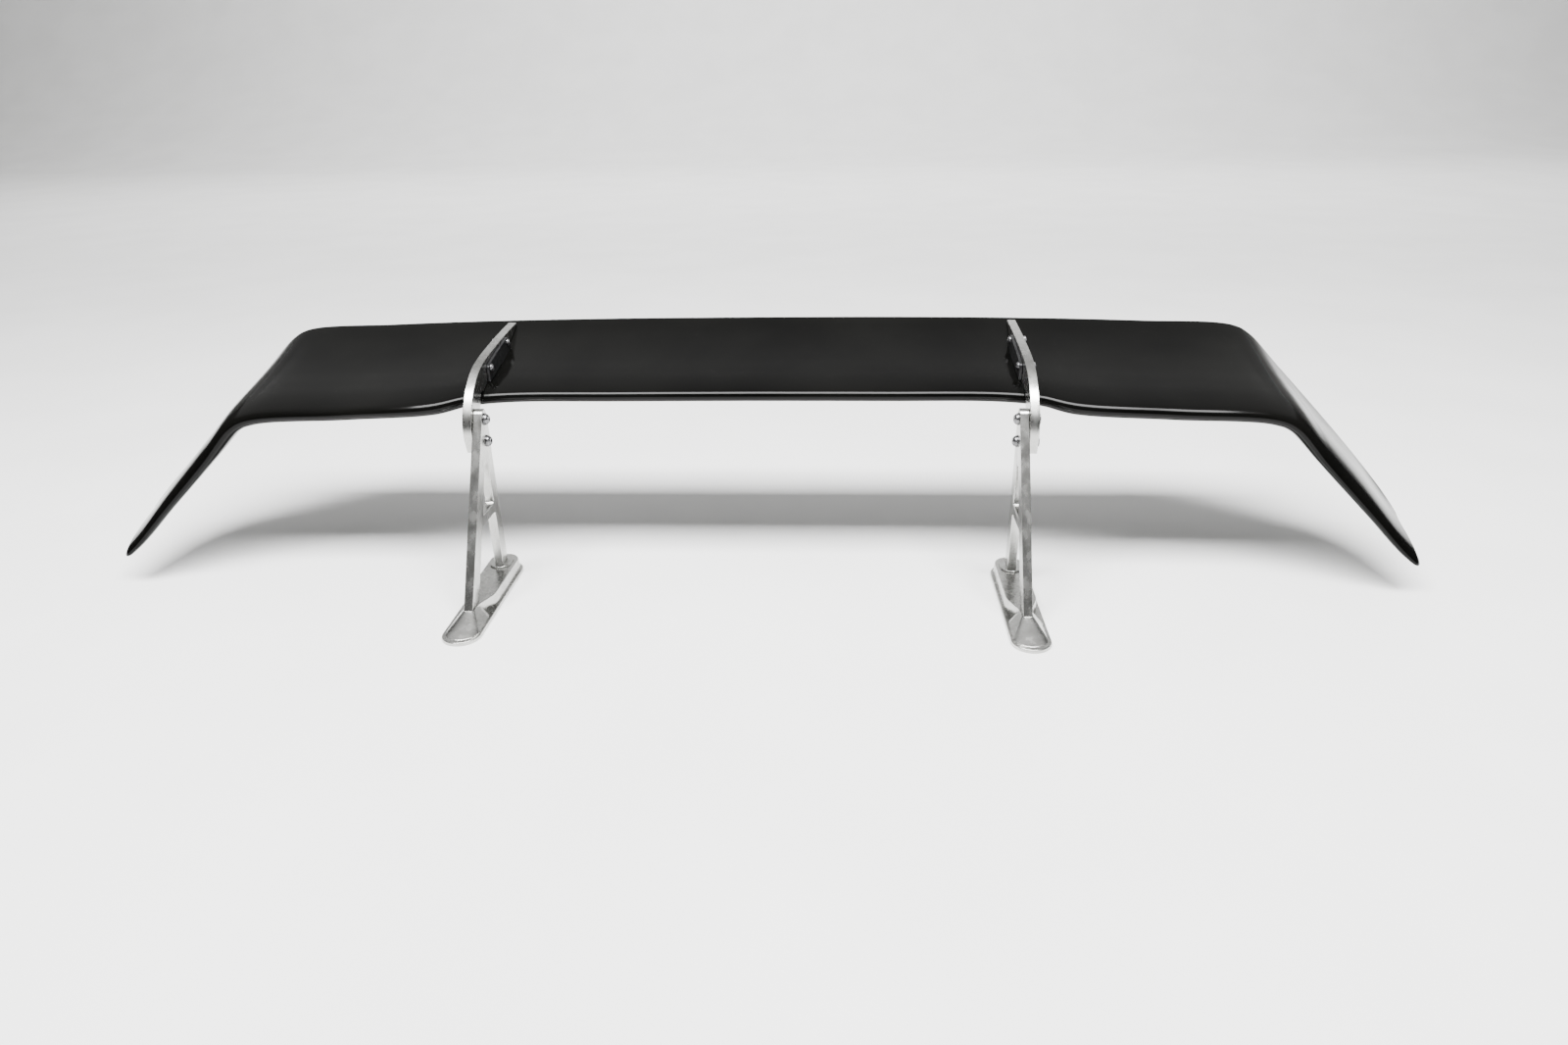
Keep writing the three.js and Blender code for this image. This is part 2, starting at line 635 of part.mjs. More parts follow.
// ---- Assembly: stands ----
addPair(stands, 'foot', footSolid(), MACHINED);
addPair(stands, 'upright', uprightSolid(), MACHINED);
for (const { name, y, seat } of FOOT_SCREWS) {
  addPair(stands, `foot_screw_${name}`, footScrew(y, seat), STEEL);
}
for (const [name, { y, z }] of [['upper', PIVOT], ['lower', LOWER_BOLT]]) {
  const washerX = UPRIGHT_X - GAP - LAP_WASHER;
  const nutX = NECK_X + PLATE + GAP;
  const end = nutX + THIN_NUT;
  addPair(stands, `lap_bolt_${name}`, buttonScrew(LAP_SHANK, 7, 4.4, washerX - GAP, end, y, z), STEEL);
  addPair(stands, `lap_washer_${name}`, washer(LAP_HOLE, 8, washerX, LAP_WASHER, y, z), STEEL);
  addPair(stands, `lap_nut_${name}`, hexNut(LAP_HOLE, 13, nutX, THIN_NUT, y, z), STEEL);
}

// ---- Assembly: wing ----
const skinStationList = skinStations();
const recesses = [recess(), mirrored(recess())];
add(wing, 'upper_skin', cut(loft(skinStationList.map((s) => skinRing(s, 1))), recesses), GLOSS_BLACK);
add(wing, 'lower_skin', loft(skinStationList.map((s) => skinRing(s, -1))), GLOSS_BLACK);
const sparStations = skinStationList.filter((s) => Math.abs(s) < KINK);
add(wing, 'main_spar', core(sparStations, 0.24, 0.36), CORE_GREY);
const ribs = { inner: xs([150, 150 + RIB]), outer: xs([540, 540 + RIB]), kink: [KINK - 0.03, KINK] };
for (const [name, stations] of Object.entries(ribs)) {
  addPair(wing, `rib_${name}`, core(stations, 0.38, 0.7), CORE_GREY);
}
const wingletStations = skinStationList.filter((s) => s > KINK + 1 && s <= LAST - TIP_ROUND);
addPair(wing, 'winglet_core', core(wingletStations, 0.14, 0.62), CORE_GREY);
const insert = core(xs([TAB_X - 18, NECK_X + PLATE]), 0.38, 0.7);
addPair(wing, 'mount_insert', cut(insert, [recess()]), MACHINED);
addPair(wing, 'wing_bracket', bracketSolid(), BLACK_ANODISED);
addPair(wing, 'neck', neckSolid(), MACHINED);
for (const { name, y, z } of NECK_BOLTS) {
  const nut = NECK_X + PLATE + GAP;
  addPair(wing, `neck_bolt_${name}`, buttonScrew(NECK_SHANK, 5.25, 3.3, TAB_X - GAP, nut + 6, y, z), STEEL);
  addPair(wing, `neck_nut_${name}`, hexNut(NECK_HOLE, 10, nut, 5, y, z), STEEL);
}

// The origin is the middle of the assembly's footprint, at the height of the feet's undersides.
model.updateMatrixWorld(true);
const box = new THREE.Box3().setFromObject(model, true);
model.position.y = -(box.min.y + box.max.y) / 2;

export default model;
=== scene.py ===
"""Racing rear wing on two aluminium uprights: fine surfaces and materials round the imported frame.

Lengths in the tables are millimetres, Y measured from the front tips of the feet, as in the CAD.
"""
import json
import math

import bmesh
import bpy
from mathutils import Matrix, Vector
from mathutils.geometry import tessellate_polygon

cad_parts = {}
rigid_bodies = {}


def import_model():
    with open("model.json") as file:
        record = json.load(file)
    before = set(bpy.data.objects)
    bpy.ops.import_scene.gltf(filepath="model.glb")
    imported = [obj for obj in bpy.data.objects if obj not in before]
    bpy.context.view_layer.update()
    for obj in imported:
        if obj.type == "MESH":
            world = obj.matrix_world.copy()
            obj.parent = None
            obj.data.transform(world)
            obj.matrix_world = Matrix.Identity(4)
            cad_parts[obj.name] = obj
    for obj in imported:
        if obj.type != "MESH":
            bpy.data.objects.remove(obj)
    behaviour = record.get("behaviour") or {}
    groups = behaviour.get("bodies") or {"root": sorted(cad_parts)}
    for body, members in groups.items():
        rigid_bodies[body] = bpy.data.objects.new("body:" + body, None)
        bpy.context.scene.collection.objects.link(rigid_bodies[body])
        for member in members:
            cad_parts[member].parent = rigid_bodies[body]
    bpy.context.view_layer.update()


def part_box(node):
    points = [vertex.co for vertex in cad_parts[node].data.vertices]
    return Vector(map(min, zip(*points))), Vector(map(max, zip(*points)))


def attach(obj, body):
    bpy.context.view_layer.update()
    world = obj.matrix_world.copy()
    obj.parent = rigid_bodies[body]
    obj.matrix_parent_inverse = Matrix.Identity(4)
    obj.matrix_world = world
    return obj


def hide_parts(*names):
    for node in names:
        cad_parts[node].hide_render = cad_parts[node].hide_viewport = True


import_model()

MM = 0.001
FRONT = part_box("foot_left")[0][1]  # Y of the feet's front tips in the frame
SIDES = {"left": 1, "right": -1}

# ---- Driving dimensions ----
PLATE = 12
GAP = 0.3
UPRIGHT_X = 354
NECK_X = UPRIGHT_X + PLATE + GAP
TAB = 4
TAB_X = NECK_X - GAP - TAB
EDGE_HALF = 0.9
FOOT = {"x": 359.5, "half": 25, "rear": 229, "rim": 5, "top": 20, "pad": 22}
LEDGE = 5
DRAFT = 1.5
NOSE_HALF = PLATE / 2 + 1.5
LEAN = 0.594
LEG_FRONT = 43.8
LEG_WIDTH = 26.5
REAR_LEG = {"front": 185, "rear": 205.5}
CROSSBAR = {"low": 104, "high": 117.5}
WINDOW_TOP = 176
PIVOT = (197, 234)
LOWER_BOLT = (194, 204.5)
SLOT_HALF_ANGLE = math.radians(7)
LAP_HOLE = 4.5
LAP_WASHER = 1.6
THIN_NUT = 3.2
NECK_BOLTS = {"front": (272, 284), "rear": (352, 299.5)}
FOOT_SCREWS = {"front": (69.5, FOOT["top"]), "rear": (195, FOOT["pad"])}
FOOT_BORE = {"radius": 5.6, "depth": 7}
TAB_FRONT = 263
TAB_REAR = 364
ROOT = {"front": 314, "rear": 358, "depth": 6}

# Spanwise stations from the middle to the left tip: leading edge, trailing edge, thickness factor,
# and how far the section has changed from the cambered wing's to the convex winglet's.
STATIONS = [
    ((0, 236, 250.5), (0, 426, 316.5), 1, 0),
    ((180, 236, 250), (180, 426, 316), 1, 0),
    ((335, 236, 249), (335, 426, 314.3), 1, 0),
    ((388, 229, 246), (388, 426, 313.3), 1, 0),
    ((432, 211, 240), (432, 426.5, 312.3), 1, 0),
    ((560, 210, 232.5), (560, 428, 308), 1, 0),
    ((692, 206.5, 225.6), (696, 429.5, 300.8), 0.96, 0.15),
    ((717, 202, 214.5), (720, 423.5, 289.5), 0.93, 0.6),
    ((758, 189.5, 169.5), (762, 399, 245), 0.9, 1),
    ((823, 169.5, 102.5), (826, 351, 174), 0.84, 1),
    ((864, 158.5, 59.5), (864, 320, 129), 0.8, 1),
    ((889, 154.5, 38.5), (890, 266, 89), 0.8, 1),
]
TIP_ROUND = 0.45
LAST = len(STATIONS) - 1

# Aerofoil heights over the chord line, as fractions of the chord: upper side, then lower side.
UPPER = [
    (0, 0), (0.006, 0.016), (0.03, 0.032), (0.08, 0.038), (0.18, 0.035),
    (0.32, 0.018), (0.48, -0.002), (0.65, -0.015), (0.83, -0.015), (1, 0),
]
LOWER = [
    (0, 0), (0.006, -0.021), (0.03, -0.047), (0.08, -0.072), (0.18, -0.096),
    (0.32, -0.104), (0.48, -0.097), (0.65, -0.075), (0.83, -0.04), (1, 0),
]
WINGLET_UPPER = [
    (0, 0), (0.006, 0.018), (0.03, 0.037), (0.08, 0.052), (0.18, 0.062),
    (0.32, 0.06), (0.48, 0.048), (0.65, 0.032), (0.83, 0.015), (1, 0),
]
WINGLET_LOWER = [
    (0, 0), (0.006, -0.014), (0.03, -0.03), (0.08, -0.043), (0.18, -0.052),
    (0.32, -0.052), (0.48, -0.043), (0.65, -0.03), (0.83, -0.015), (1, 0),
]

# The neck's upper edge, from its tail up and over the leading edge to the rear end.
NECK_TOP = [
    (181, 192), (177.5, 205), (175.8, 219), (179.5, 237), (190, 254), (203, 269),
    (219, 281), (240, 291.5), (266, 298), (300, 303), (340, 307.6), (380, 311.3), (414, 313.8),
]
# The rear edge of the neck's tail, up to the wing's nose.
NECK_UNDER_NOSE = [
    (212.5, 192), (213.5, 212), (216, 228), (220, 240), (225.5, 250), (231.5, 259.5),
]
NECK_CLEARANCE = 0.9

# Smoothness: pieces between stations, round the tip, and round each end of a stadium.
SPAN_STEPS = 12
TIP_STEPS = 12
ARC_STEPS = 28

NECK_HOLE = 3.4
FOOT_HOLE = 3.4
PLATE_MIDDLE = UPRIGHT_X + PLATE / 2
MERGE = 1e-6  # metres within which two vertices are one


# ---- Curves ----
def spline(points, t):
    """A centripetal Catmull-Rom curve through points, at t counted in points."""
    k = min(int(t), len(points) - 2)
    w = t - k
    p1, p2 = points[k], points[k + 1]
    p0 = points[k - 1] if k else p1 * 2 - p2
    p3 = points[k + 2] if k + 2 < len(points) else p2 * 2 - p1
    d0, d1, d2 = [max(1e-4, (b - a).length) ** 0.5 for a, b in ((p0, p1), (p1, p2), (p2, p3))]
    m1 = ((p1 - p0) / d0 - (p2 - p0) / (d0 + d1) + (p2 - p1) / d1) * d1
    m2 = ((p2 - p1) / d1 - (p3 - p1) / (d1 + d2) + (p3 - p2) / d2) * d1
    w2, w3 = w * w, w ** 3
    return (p1 * (2 * w3 - 3 * w2 + 1) + m1 * (w3 - 2 * w2 + w)
            + p2 * (3 * w2 - 2 * w3) + m2 * (w3 - w2))


def smooth(points, steps):
    """The curve through points as a list, with steps pieces between each two."""
    vectors = [Vector(p) for p in points]
    count = (len(points) - 1) * steps
    return [spline(vectors, k / steps) for k in range(count + 1)]


def rounded(corners, steps=8):
    """A closed outline; a corner (a, b, r) becomes a curve that starts r from it."""
    points = []
    for k, corner in enumerate(corners):
        here = Vector(corner[:2])
        if len(corner) == 2:
            points.append(here)
            continue
        ends = [here + (Vector(other[:2]) - here).normalized() * corner[2]
                for other in (corners[k - 1], corners[(k + 1) % len(corners)])]
        for j in range(steps + 1):
            w = j / steps
            points.append(ends[0] * (1 - w) ** 2 + here * 2 * w * (1 - w) + ends[1] * w * w)
    return points


def circle(centre, radius, steps=40):
    return [Vector((centre[0] + radius * math.cos(a), centre[1] + radius * math.sin(a)))
            for a in (2 * math.pi * k / steps for k in range(steps))]


# ---- Wing surface ----
LE = [Vector(s[0]) for s in STATIONS]
TE = [Vector(s[1]) for s in STATIONS]


def section(s):
    """Leading edge, trailing edge, up, chord, thickness, convexity at station s of the left half."""
    le, te = spline(LE, s), spline(TE, s)
    k = min(LAST - 1, int(s))
    thick, convex = (STATIONS[k][i] + (STATIONS[k + 1][i] - STATIONS[k][i]) * (s - k) for i in (2, 3))
    before, after = (max(0, s - 0.02), min(LAST, s + 0.02))
    along = (spline(LE, after) + spline(TE, after)) - (spline(LE, before) + spline(TE, before))
    up = along.cross(te - le).normalized()
    round_off = max(0, (s - (LAST - TIP_ROUND)) / TIP_ROUND)
    if round_off:
        keep = math.sqrt(1 - 0.96 * round_off ** 2)
        centre = le.lerp(te, 0.45)
        le = le.lerp(centre, 0.35 * (1 - keep))
        te = te.lerp(centre, 0.35 * (1 - keep))
        thick *= keep
    return le, te, up, (te - le).length, thick, convex


def aerofoil(table, other, steps=6):
    """Samples (u, height) of one side, run smoothly round the nose with the other side."""
    contour = [Vector(p) for p in [*other[2:0:-1], *table]]
    return [spline(contour, 2 + k / steps) for k in range((len(table) - 1) * steps + 1)]


WING_SIDES = {1: aerofoil(UPPER, LOWER), -1: aerofoil(LOWER, UPPER)}
WINGLET_SIDES = {1: aerofoil(WINGLET_UPPER, WINGLET_LOWER), -1: aerofoil(WINGLET_LOWER, WINGLET_UPPER)}
SAMPLES = len(WING_SIDES[1])


def on_wing(here, number, side):
    """The numbered sample of one side of a section: side 1 is the upper surface, -1 the lower."""
    le, te, up, chord, thick, convex = here
    u, height = WING_SIDES[side][number].lerp(WINGLET_SIDES[side][number], convex)
    return le.lerp(te, u) + up * (height * chord * thick + side * EDGE_HALF * max(0, u) ** 3)


def station_at(x):
    low, high = 0.0, float(LAST)
    for _ in range(40):
        middle = (low + high) / 2
        low, high = (middle, high) if spline(LE, middle).x < x else (low, middle)
    return low


def upper_line(x):
    """The upper surface's line from nose to tail at a distance x from the middle."""
    here = section(station_at(x))
    return [on_wing(here, k, 1) for k in range(SAMPLES)]


def along_line(line, key, value):
    """The point of a line where one of its coordinates reaches value."""
    for a, b in zip(line, line[1:]):
        if a[key] <= value <= b[key] and b[key] > a[key]:
            return a.lerp(b, (value - a[key]) / (b[key] - a[key]))
    return line[-1] if value > line[-1][key] else line[0]


# ---- Meshes ----
def place(point):
    return Vector((point[0] * MM, FRONT + point[1] * MM, point[2] * MM))


def clean(mesh, merge, crease=None, mirror=False):
    """Welds a mesh and turns its faces out; edges sharper than crease degrees stay sharp."""
    bm = bmesh.new()
    bm.from_mesh(mesh)
    if mirror:
        bmesh.ops.scale(bm, vec=(-1, 1, 1), verts=bm.verts)
    bmesh.ops.remove_doubles(bm, verts=bm.verts, dist=merge)
    bmesh.ops.recalc_face_normals(bm, faces=bm.faces)
    if crease:
        for edge in bm.edges:
            edge.smooth = (len(edge.link_faces) == 2
                           and edge.calc_face_angle(0) < math.radians(crease))
        for face in bm.faces:
            face.smooth = True
    bm.to_mesh(mesh)
    bm.free()


def piece(name, verts, faces, looks, body, nodes, slot, side=1, crease=38):
    """A mesh object from millimetre points; side -1 mirrors it to the right."""
    mesh = bpy.data.meshes.new(name)
    mesh.from_pydata([place((v[0] * side, v[1], v[2])) for v in verts], [], faces)
    clean(mesh, MERGE, crease)
    mesh.materials.append(looks)
    obj = bpy.data.objects.new(name, mesh)
    bpy.context.scene.collection.objects.link(obj)
    weighted = obj.modifiers.new("weighted_normals", "WEIGHTED_NORMAL")
    weighted.keep_sharp = True
    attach(obj, body)
    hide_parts(*nodes)
    return obj


def skin(rings, closed=False):
    """Verts and quads through rings of equal length; closed joins the last ring to the first."""
    n = len(rings[0])
    verts = [v for ring in rings for v in ring]
    faces = []
    for r in range(len(rings) if closed else len(rings) - 1):
        a, b = r * n, ((r + 1) % len(rings)) * n
        faces += [(a + k, a + (k + 1) % n, b + (k + 1) % n, b + k) for k in range(n)]
    return verts, faces


def lathe_x(profile, x0, y, z, steps=48, closed=False):
    """A turned piece along X from (radius, x, is_hex) points.

    is_hex is False for round, True for a hexagon and "chamfer" for one with its corners cut.
    """
    rings = []
    for radius, x, is_hex in profile:
        ring = []
        for k in range(steps):
            a = 2 * math.pi * k / steps
            r = radius
            if is_hex:
                r = radius / math.cos((a % (math.pi / 3)) - math.pi / 6)
            if is_hex == "chamfer":
                r = min(r, radius * 1.08)
            ring.append((x0 + x, y + r * math.cos(a), z + r * math.sin(a)))
        rings.append(ring)
    verts, faces = skin(rings, closed)
    if not closed:
        last = (len(rings) - 1) * steps
        faces += [tuple(range(steps)), tuple(range(last, last + steps))]
    return verts, faces


def inset(loop, amount):
    """The loop moved by amount along its corners' bisectors."""
    moved = []
    for k, here in enumerate(loop):
        before = (here - loop[k - 1]).normalized()
        after = (loop[(k + 1) % len(loop)] - here).normalized()
        normal = Vector((-before.y - after.y, before.x + after.x)).normalized()
        spread = max(0.5, normal.dot(Vector((-before.y, before.x))))
        moved.append(here + normal * (amount / spread))
    return moved


def tidy_loop(loop, outer):
    """The loop without repeated points: anticlockwise outside, clockwise for a hole."""
    points = [p for k, p in enumerate(loop) if (p - loop[k - 1]).length > 0.02]
    area = sum(p.x * points[k - 1].y - p.y * points[k - 1].x for k, p in enumerate(points))
    return points[::-1] if (area > 0) == outer else points


def plate_x(loops, x0, thickness, radius, steps=4):
    """A plate across X from (Y, Z) loops, the first outside and the rest holes, with rounded edges."""
    quarter = [(radius * (1 - math.sin(a)), radius * (1 - math.cos(a)))
               for a in (math.pi / 2 * k / steps for k in range(steps + 1))]
    profile = quarter + [(i, thickness - d) for i, d in reversed(quarter)]
    verts, faces, caps = [], [], [[], []]
    for number, loop in enumerate(loops):
        loop = tidy_loop(loop, number == 0)
        rings = [[(x0 + depth, p.x, p.y) for p in inset(loop, amount)]
                 for amount, depth in profile]
        ring_verts, ring_faces = skin(rings)
        start = len(verts)
        verts += ring_verts
        faces += [tuple(start + k for k in face) for face in ring_faces]
        for cap, first in zip(caps, (start, start + (len(rings) - 1) * len(loop))):
            cap.append(range(first, first + len(loop)))
    for cap in caps:
        numbers = [k for loop in cap for k in loop]
        flat = [[Vector((verts[k][1], verts[k][2], 0)) for k in loop] for loop in cap]
        faces += [tuple(numbers[k] for k in face) for face in tessellate_polygon(flat)]
    return verts, faces


def stadium(half, front, rear, steps=ARC_STEPS):
    """A long rounded outline in the foot's plan."""
    points = []
    for centre, start in ((rear - half, 0), (front + half, math.pi)):
        points += [Vector((FOOT["x"] + half * math.cos(start + math.pi * k / steps),
                           centre + half * math.sin(start + math.pi * k / steps)))
                   for k in range(steps + 1)]
    return points


def stack(layers):
    """A closed solid from (outline, z) layers with flat ends."""
    verts, faces = skin([[(p.x, p.y, z) for p in outline] for outline, z in layers])
    n = len(layers[0][0])
    last = (len(layers) - 1) * n
    return verts, faces + [tuple(range(n)), tuple(range(last, last + n))]


def boolean(obj, cutter_data, operation):
    """Joins or cuts one solid with another and keeps only the result."""
    verts, faces = cutter_data
    mesh = bpy.data.meshes.new("tool")
    mesh.from_pydata([place(v) for v in verts], [], faces)
    clean(mesh, MERGE)
    tool = bpy.data.objects.new("tool", mesh)
    bpy.context.scene.collection.objects.link(tool)
    modifier = obj.modifiers.new("boolean", "BOOLEAN")
    modifier.operation = operation
    modifier.solver = "EXACT"
    modifier.object = tool
    graph = bpy.context.evaluated_depsgraph_get()
    result = bpy.data.meshes.new_from_object(obj.evaluated_get(graph))
    obj.modifiers.remove(modifier)
    obj.data = result
    bpy.data.objects.remove(tool)
    bpy.data.meshes.remove(mesh)


# ---- Materials ----
def new_material(name, metallic=0.0):
    mat = bpy.data.materials.new(name)
    mat.use_nodes = True
    shader = mat.node_tree.nodes["Principled BSDF"]
    shader.inputs["Metallic"].default_value = metallic
    return mat, shader


def noise(mat, scale, stretch=(1, 1, 1), detail=4.0, roughness=0.5):
    """Noise over the object's own coordinates, in features per metre, stretched along an axis."""
    nodes, links = mat.node_tree.nodes, mat.node_tree.links
    coordinates = nodes.new("ShaderNodeTexCoord")
    mapping = nodes.new("ShaderNodeMapping")
    mapping.inputs["Scale"].default_value = stretch
    texture = nodes.new("ShaderNodeTexNoise")
    texture.inputs["Scale"].default_value = scale
    texture.inputs["Detail"].default_value = detail
    texture.inputs["Roughness"].default_value = roughness
    links.new(coordinates.outputs["Object"], mapping.inputs["Vector"])
    links.new(mapping.outputs["Vector"], texture.inputs["Vector"])
    return texture.outputs["Fac"]


def ramp(mat, source, low, high, start=0.35, end=0.65):
    """Colours or greys from low to high over the middle of a noise."""
    node = mat.node_tree.nodes.new("ShaderNodeValToRGB")
    for element, place_at, value in zip(node.color_ramp.elements, (start, end), (low, high)):
        element.position = place_at
        element.color = (*value, 1) if isinstance(value, tuple) else (value, value, value, 1)
    mat.node_tree.links.new(source, node.inputs["Fac"])
    return node.outputs["Color"]


def bump(mat, shader, source, strength, distance):
    node = mat.node_tree.nodes.new("ShaderNodeBump")
    node.inputs["Strength"].default_value = strength
    node.inputs["Distance"].default_value = distance
    mat.node_tree.links.new(source, node.inputs["Height"])
    mat.node_tree.links.new(node.outputs["Normal"], shader.inputs["Normal"])


def gloss_black():
    mat, shader = new_material("gloss_black")
    shader.inputs["Specular IOR Level"].default_value = 0.12
    links = mat.node_tree.links
    links.new(ramp(mat, noise(mat, 5), (0.001, 0.001, 0.0009), (0.0026, 0.0026, 0.0023)),
              shader.inputs["Base Color"])
    links.new(ramp(mat, noise(mat, 14, (1, 3, 3)), 0.1, 0.15), shader.inputs["Roughness"])
    bump(mat, shader, noise(mat, 240, detail=2), 0.02, 0.0003)
    return mat


def machined_aluminium():
    mat, shader = new_material("machined_aluminium", metallic=1.0)
    links = mat.node_tree.links
    links.new(ramp(mat, noise(mat, 45, detail=6), (0.4, 0.4, 0.385), (0.52, 0.52, 0.505)),
              shader.inputs["Base Color"])
    links.new(ramp(mat, noise(mat, 90, (1, 1, 0.25), detail=6), 0.22, 0.3),
              shader.inputs["Roughness"])
    bump(mat, shader, noise(mat, 900, (1, 0.05, 1), detail=3), 0.06, 0.00005)
    return mat


def black_anodised():
    mat, shader = new_material("black_anodised", metallic=0.7)
    links = mat.node_tree.links
    links.new(ramp(mat, noise(mat, 60, detail=6), (0.012, 0.012, 0.013), (0.03, 0.03, 0.031)),
              shader.inputs["Base Color"])
    links.new(ramp(mat, noise(mat, 150, detail=4), 0.36, 0.5), shader.inputs["Roughness"])
    bump(mat, shader, noise(mat, 1500, detail=3), 0.08, 0.0001)
    return mat


def fastener_steel():
    mat, shader = new_material("fastener_steel", metallic=1.0)
    links = mat.node_tree.links
    links.new(ramp(mat, noise(mat, 120, detail=5), (0.13, 0.13, 0.135), (0.24, 0.24, 0.245)),
              shader.inputs["Base Color"])
    links.new(ramp(mat, noise(mat, 300, detail=4), 0.24, 0.4), shader.inputs["Roughness"])
    bump(mat, shader, noise(mat, 900, (0.2, 1, 1), detail=3), 0.05, 0.0001)
    return mat


def core_foam():
    mat, shader = new_material("core_foam")
    links = mat.node_tree.links
    links.new(ramp(mat, noise(mat, 220, detail=6), (0.13, 0.13, 0.12), (0.26, 0.26, 0.24)),
              shader.inputs["Base Color"])
    links.new(ramp(mat, noise(mat, 400), 0.75, 0.92), shader.inputs["Roughness"])
    bump(mat, shader, noise(mat, 1200, detail=2), 0.3, 0.0004)
    return mat


GLOSS = gloss_black()
ALUMINIUM = machined_aluminium()
ANODISED = black_anodised()
STEEL = fastener_steel()
FOAM = core_foam()


# ---- Wing shell ----
def shell_stations():
    """Even steps along the span, closer round the tip."""
    steps = [k / SPAN_STEPS for k in range(int((LAST - TIP_ROUND) * SPAN_STEPS) + 1)]
    steps += [LAST - TIP_ROUND * math.cos(math.pi / 2 * k / TIP_STEPS)
              for k in range(TIP_STEPS + 1)]
    return [-s for s in reversed(steps[1:])] + steps


def wing_shell():
    rings = []
    for s in shell_stations():
        here = section(abs(s))
        ring = [on_wing(here, k, 1) for k in range(SAMPLES)]
        ring += [on_wing(here, k, -1) for k in range(SAMPLES - 1, 0, -1)]
        rings.append([(p.x if s >= 0 else -p.x, p.y, p.z) for p in ring])
    verts, faces = skin(rings)
    n = len(rings[0])
    for first in (0, (len(rings) - 1) * n):
        half = SAMPLES - 1
        pairs = [(0, 0)] + [(k, n - k) for k in range(1, half)] + [(half, half + 1)]
        for (a, b), (c, d) in zip(pairs, pairs[1:]):
            corners = [first + k for k in (a, c, d, b)]
            faces.append(tuple(dict.fromkeys(corners)))
    piece("wing_shell", verts, faces, GLOSS, "wing", ("upper_skin", "lower_skin"), "gloss_black")


# ---- Feet ----
def plateau(half):
    """The foot's raised body in plan: wide at the rear, narrowing forward to the front leg."""
    rear_arc = stadium(half, 0, FOOT["rear"] - FOOT["half"] + half)[:ARC_STEPS + 1]
    front = rounded([
        (FOOT["x"] - half, 180), (FOOT["x"] - half, 104, 9), (FOOT["x"] - NOSE_HALF, 72, 9),
        (FOOT["x"] - NOSE_HALF, 60), (FOOT["x"] + NOSE_HALF, 60),
        (FOOT["x"] + NOSE_HALF, 72, 9), (FOOT["x"] + half, 104, 9), (FOOT["x"] + half, 180),
    ])
    return rear_arc + front


def edge_round(radius, steps=4):
    """Inset and drop of a rounded edge, from the wall up to the top."""
    return [(radius * (1 - math.cos(a)), radius * (1 - math.sin(a)))
            for a in (math.pi / 2 * k / steps for k in range(steps + 1))]


def foot(side_name, side):
    half, rear, rim = FOOT["half"], FOOT["rear"], FOOT["rim"]
    low = rim - 1
    base = stack([(stadium(half - i, i, rear - i), d) for i, d in reversed(edge_round(0.6, 2))]
                 + [(stadium(half - i, i, rear - i), rim - d) for i, d in edge_round(1.2)])
    body = stack([(plateau(half - LEDGE + DRAFT), low)]
                 + [(plateau(half - LEDGE - i), FOOT["top"] - d) for i, d in edge_round(1.4)])
    nose = stack([(stadium(half - 3, 6, 84), low), (stadium(half - 4, 8, 84), rim + 0.5)]
                 + [(stadium(NOSE_HALF - i, 51 + 2 * i, 78), FOOT["top"] - d)
                    for i, d in edge_round(0.8, 2)])
    step = stack([(stadium(15, 176, 216), FOOT["top"] - 1)]
                 + [(stadium(15 - i, 176 + i, 216 - i), FOOT["pad"] - d) for i, d in edge_round(0.6)])
    obj = piece(f"foot_{side_name}_fine", *base, ALUMINIUM, "stands", (f"foot_{side_name}",),
                "machined_aluminium")
    for solid in (body, nose, step):
        boolean(obj, solid, "UNION")
    for y, _ in FOOT_SCREWS.values():
        for radius, depth in ((FOOT_HOLE, 30), (FOOT_BORE["radius"], FOOT_BORE["depth"])):
            ring = circle((PLATE_MIDDLE, y), radius)
            boolean(obj, stack([(ring, -1), (ring, depth)]), "DIFFERENCE")
    clean(obj.data, 2 * MERGE, 32, mirror=side < 0)


# ---- Uprights ----
def front_edge(z):
    return LEG_FRONT + LEAN * z


def upright(side_name, side):
    low, high = CROSSBAR["low"], CROSSBAR["high"]
    front, rear = REAR_LEG["front"], REAR_LEG["rear"]
    foot_top = FOOT["top"] + 0.1

    def inner(z):
        return front_edge(z) + LEG_WIDTH

    outside = rounded([
        (front_edge(foot_top), foot_top), (inner(foot_top), foot_top), (inner(low), low, 5),
        (front, low, 5), (front, FOOT["pad"] + 0.1), (rear, FOOT["pad"] + 0.1), (rear, 184, 7),
        (207.5, 200, 7), (207.5, 236, 6), (203, 248, 5), (front_edge(246) + 2, 247, 5),
    ])
    window = rounded([
        (inner(high), high, 4), (inner(WINDOW_TOP - 4), WINDOW_TOP, 5),
        (front, WINDOW_TOP, 4), (front, high, 4),
    ])
    holes = [circle(PIVOT, LAP_HOLE), circle(LOWER_BOLT, LAP_HOLE)]
    piece(f"upright_{side_name}_fine", *plate_x([outside, window, *holes], UPRIGHT_X, PLATE, 1.0),
          ALUMINIUM, "stands", (f"upright_{side_name}",), "machined_aluminium", side)


